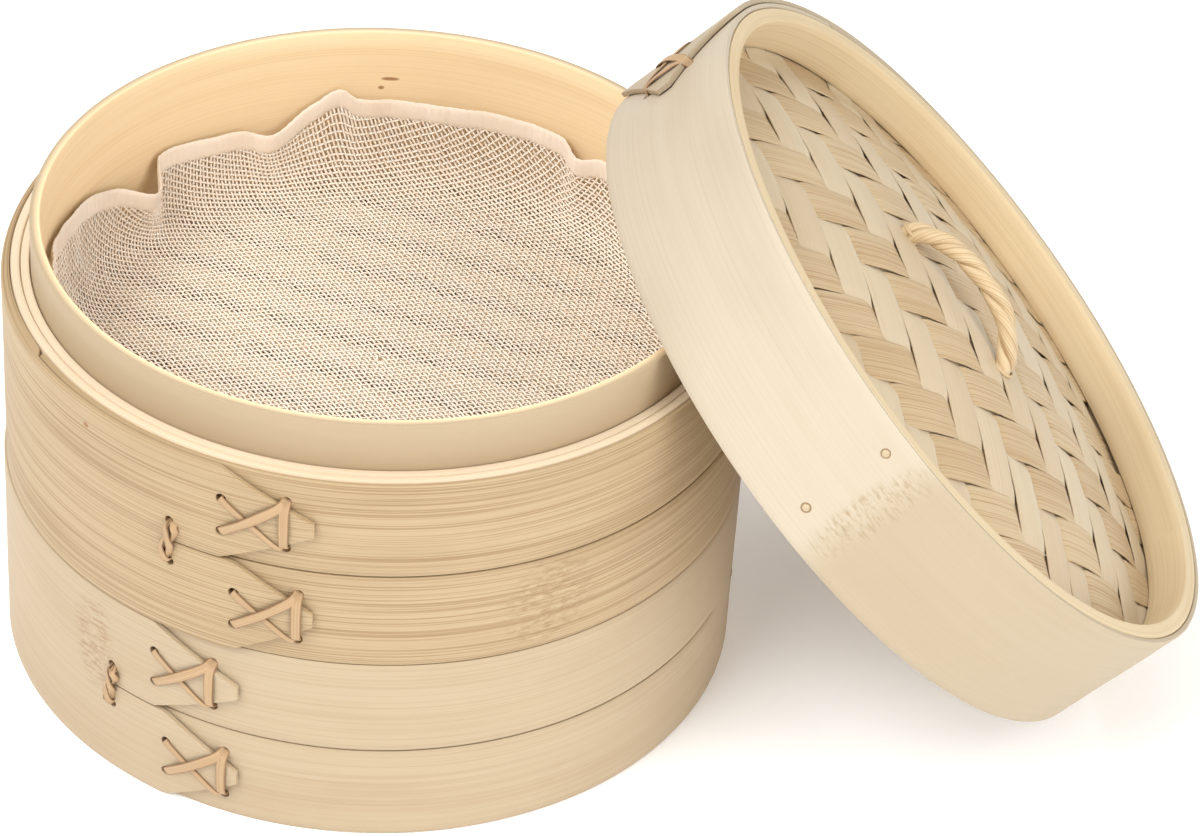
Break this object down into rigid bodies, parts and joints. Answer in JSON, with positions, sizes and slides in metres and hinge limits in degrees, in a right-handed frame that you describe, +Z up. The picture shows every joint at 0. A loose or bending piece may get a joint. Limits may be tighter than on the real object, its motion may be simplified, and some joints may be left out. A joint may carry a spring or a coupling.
{
  "type": "bamboo steamer basket",
  "caption": "Round stacking steamer with bent strip walls, slatted floors, a gauze liner and a domed woven lid leaning on its side.",
  "frame": {"origin": "middle of the footprint of the whole arrangement (stack and leaning lid), on the surface that it stands on", "axes": "+Z up along the stack, +X from the stack towards the leaning lid, +Y away from the laced front"},
  "size_m": [0.3337, 0.2073, 0.1773],
  "materials": {
    "bamboo_warm": "smooth split bamboo, satin, with visible long grain, warm straw colour",
    "bamboo_pale": "smooth split bamboo, satin, pale straw colour",
    "bamboo_inner": "inner face of bent bamboo, satin, honey straw colour",
    "bamboo_core": "sawn edge of bent bamboo, matt, very pale",
    "bamboo_slat": "split bamboo lath, matt",
    "bamboo_skin_strip": "thin shaved bamboo strip, satin, tan",
    "twisted_strip": "twisted shaved bamboo strip, satin, straw colour",
    "bamboo_weave": "woven shaved bamboo strips, satin, mixed pale straw colours",
    "gauze": "open cotton gauze, matt, pale pinkish cream",
    "hem_tape": "folded and stitched cotton hem, matt, pale cream"
  },
  "bodies": {
    "lower_tier": {"lower_inner_wall": "bamboo_inner", "lower_filler_ring": "bamboo_core", "lower_spacer_ring": "bamboo_core", "lower_hoop": "bamboo_pale", "lower_lace_top": "bamboo_skin_strip", "lower_lace_bottom": "bamboo_skin_strip", "lower_slit_tie": "bamboo_skin_strip", "lower_peg": "bamboo_slat", "lower_bar_1": "bamboo_slat", "lower_bar_2": "bamboo_slat", "lower_slat_1": "bamboo_slat", "lower_slat_2": "bamboo_slat", "lower_slat_3": "bamboo_slat", "lower_slat_4": "bamboo_slat", "lower_slat_5": "bamboo_slat", "lower_slat_6": "bamboo_slat", "lower_slat_7": "bamboo_slat", "lower_slat_8": "bamboo_slat", "lower_slat_9": "bamboo_slat", "lower_slat_10": "bamboo_slat", "lower_slat_11": "bamboo_slat", "lower_slat_ring": "bamboo_inner"},
    "upper_tier": {"upper_inner_wall": "bamboo_inner", "upper_filler_ring": "bamboo_core", "upper_spacer_ring": "bamboo_core", "upper_hoop": "bamboo_warm", "upper_lace_top": "bamboo_skin_strip", "upper_lace_bottom": "bamboo_skin_strip", "upper_slit_tie": "bamboo_skin_strip", "upper_peg": "bamboo_slat", "upper_bar_1": "bamboo_slat", "upper_bar_2": "bamboo_slat", "upper_slat_1": "bamboo_slat", "upper_slat_2": "bamboo_slat", "upper_slat_3": "bamboo_slat", "upper_slat_4": "bamboo_slat", "upper_slat_5": "bamboo_slat", "upper_slat_6": "bamboo_slat", "upper_slat_7": "bamboo_slat", "upper_slat_8": "bamboo_slat", "upper_slat_9": "bamboo_slat", "upper_slat_10": "bamboo_slat", "upper_slat_11": "bamboo_slat", "upper_slat_ring": "bamboo_inner"},
    "liner": {"gauze_liner": "gauze", "liner_hem": "hem_tape"},
    "lid": {"lid_hoop": "bamboo_pale", "lid_top_ring": "bamboo_inner", "lid_bottom_ring": "bamboo_inner", "woven_cover": "bamboo_weave", "lid_handle": "twisted_strip", "lid_lace": "bamboo_skin_strip", "lid_peg_1": "bamboo_slat", "lid_peg_2": "bamboo_slat", "lid_peg_3": "bamboo_slat"}
  },
  "joints": [
    {"name": "upper_tier_lift", "type": "slide", "parent": "lower_tier", "child": "upper_tier", "axis": [0, 0, 1], "range_m": [0, 0.1]},
    {"name": "lid_lift_off", "type": "slide", "parent": "upper_tier", "child": "lid", "axis": [0.7157, 0, 0.6984], "range_m": [0, 0.2]},
    {"name": "liner_lift", "type": "slide", "parent": "upper_tier", "child": "liner", "axis": [0, 0, 1], "range_m": [0, 0.022]}
  ]
}
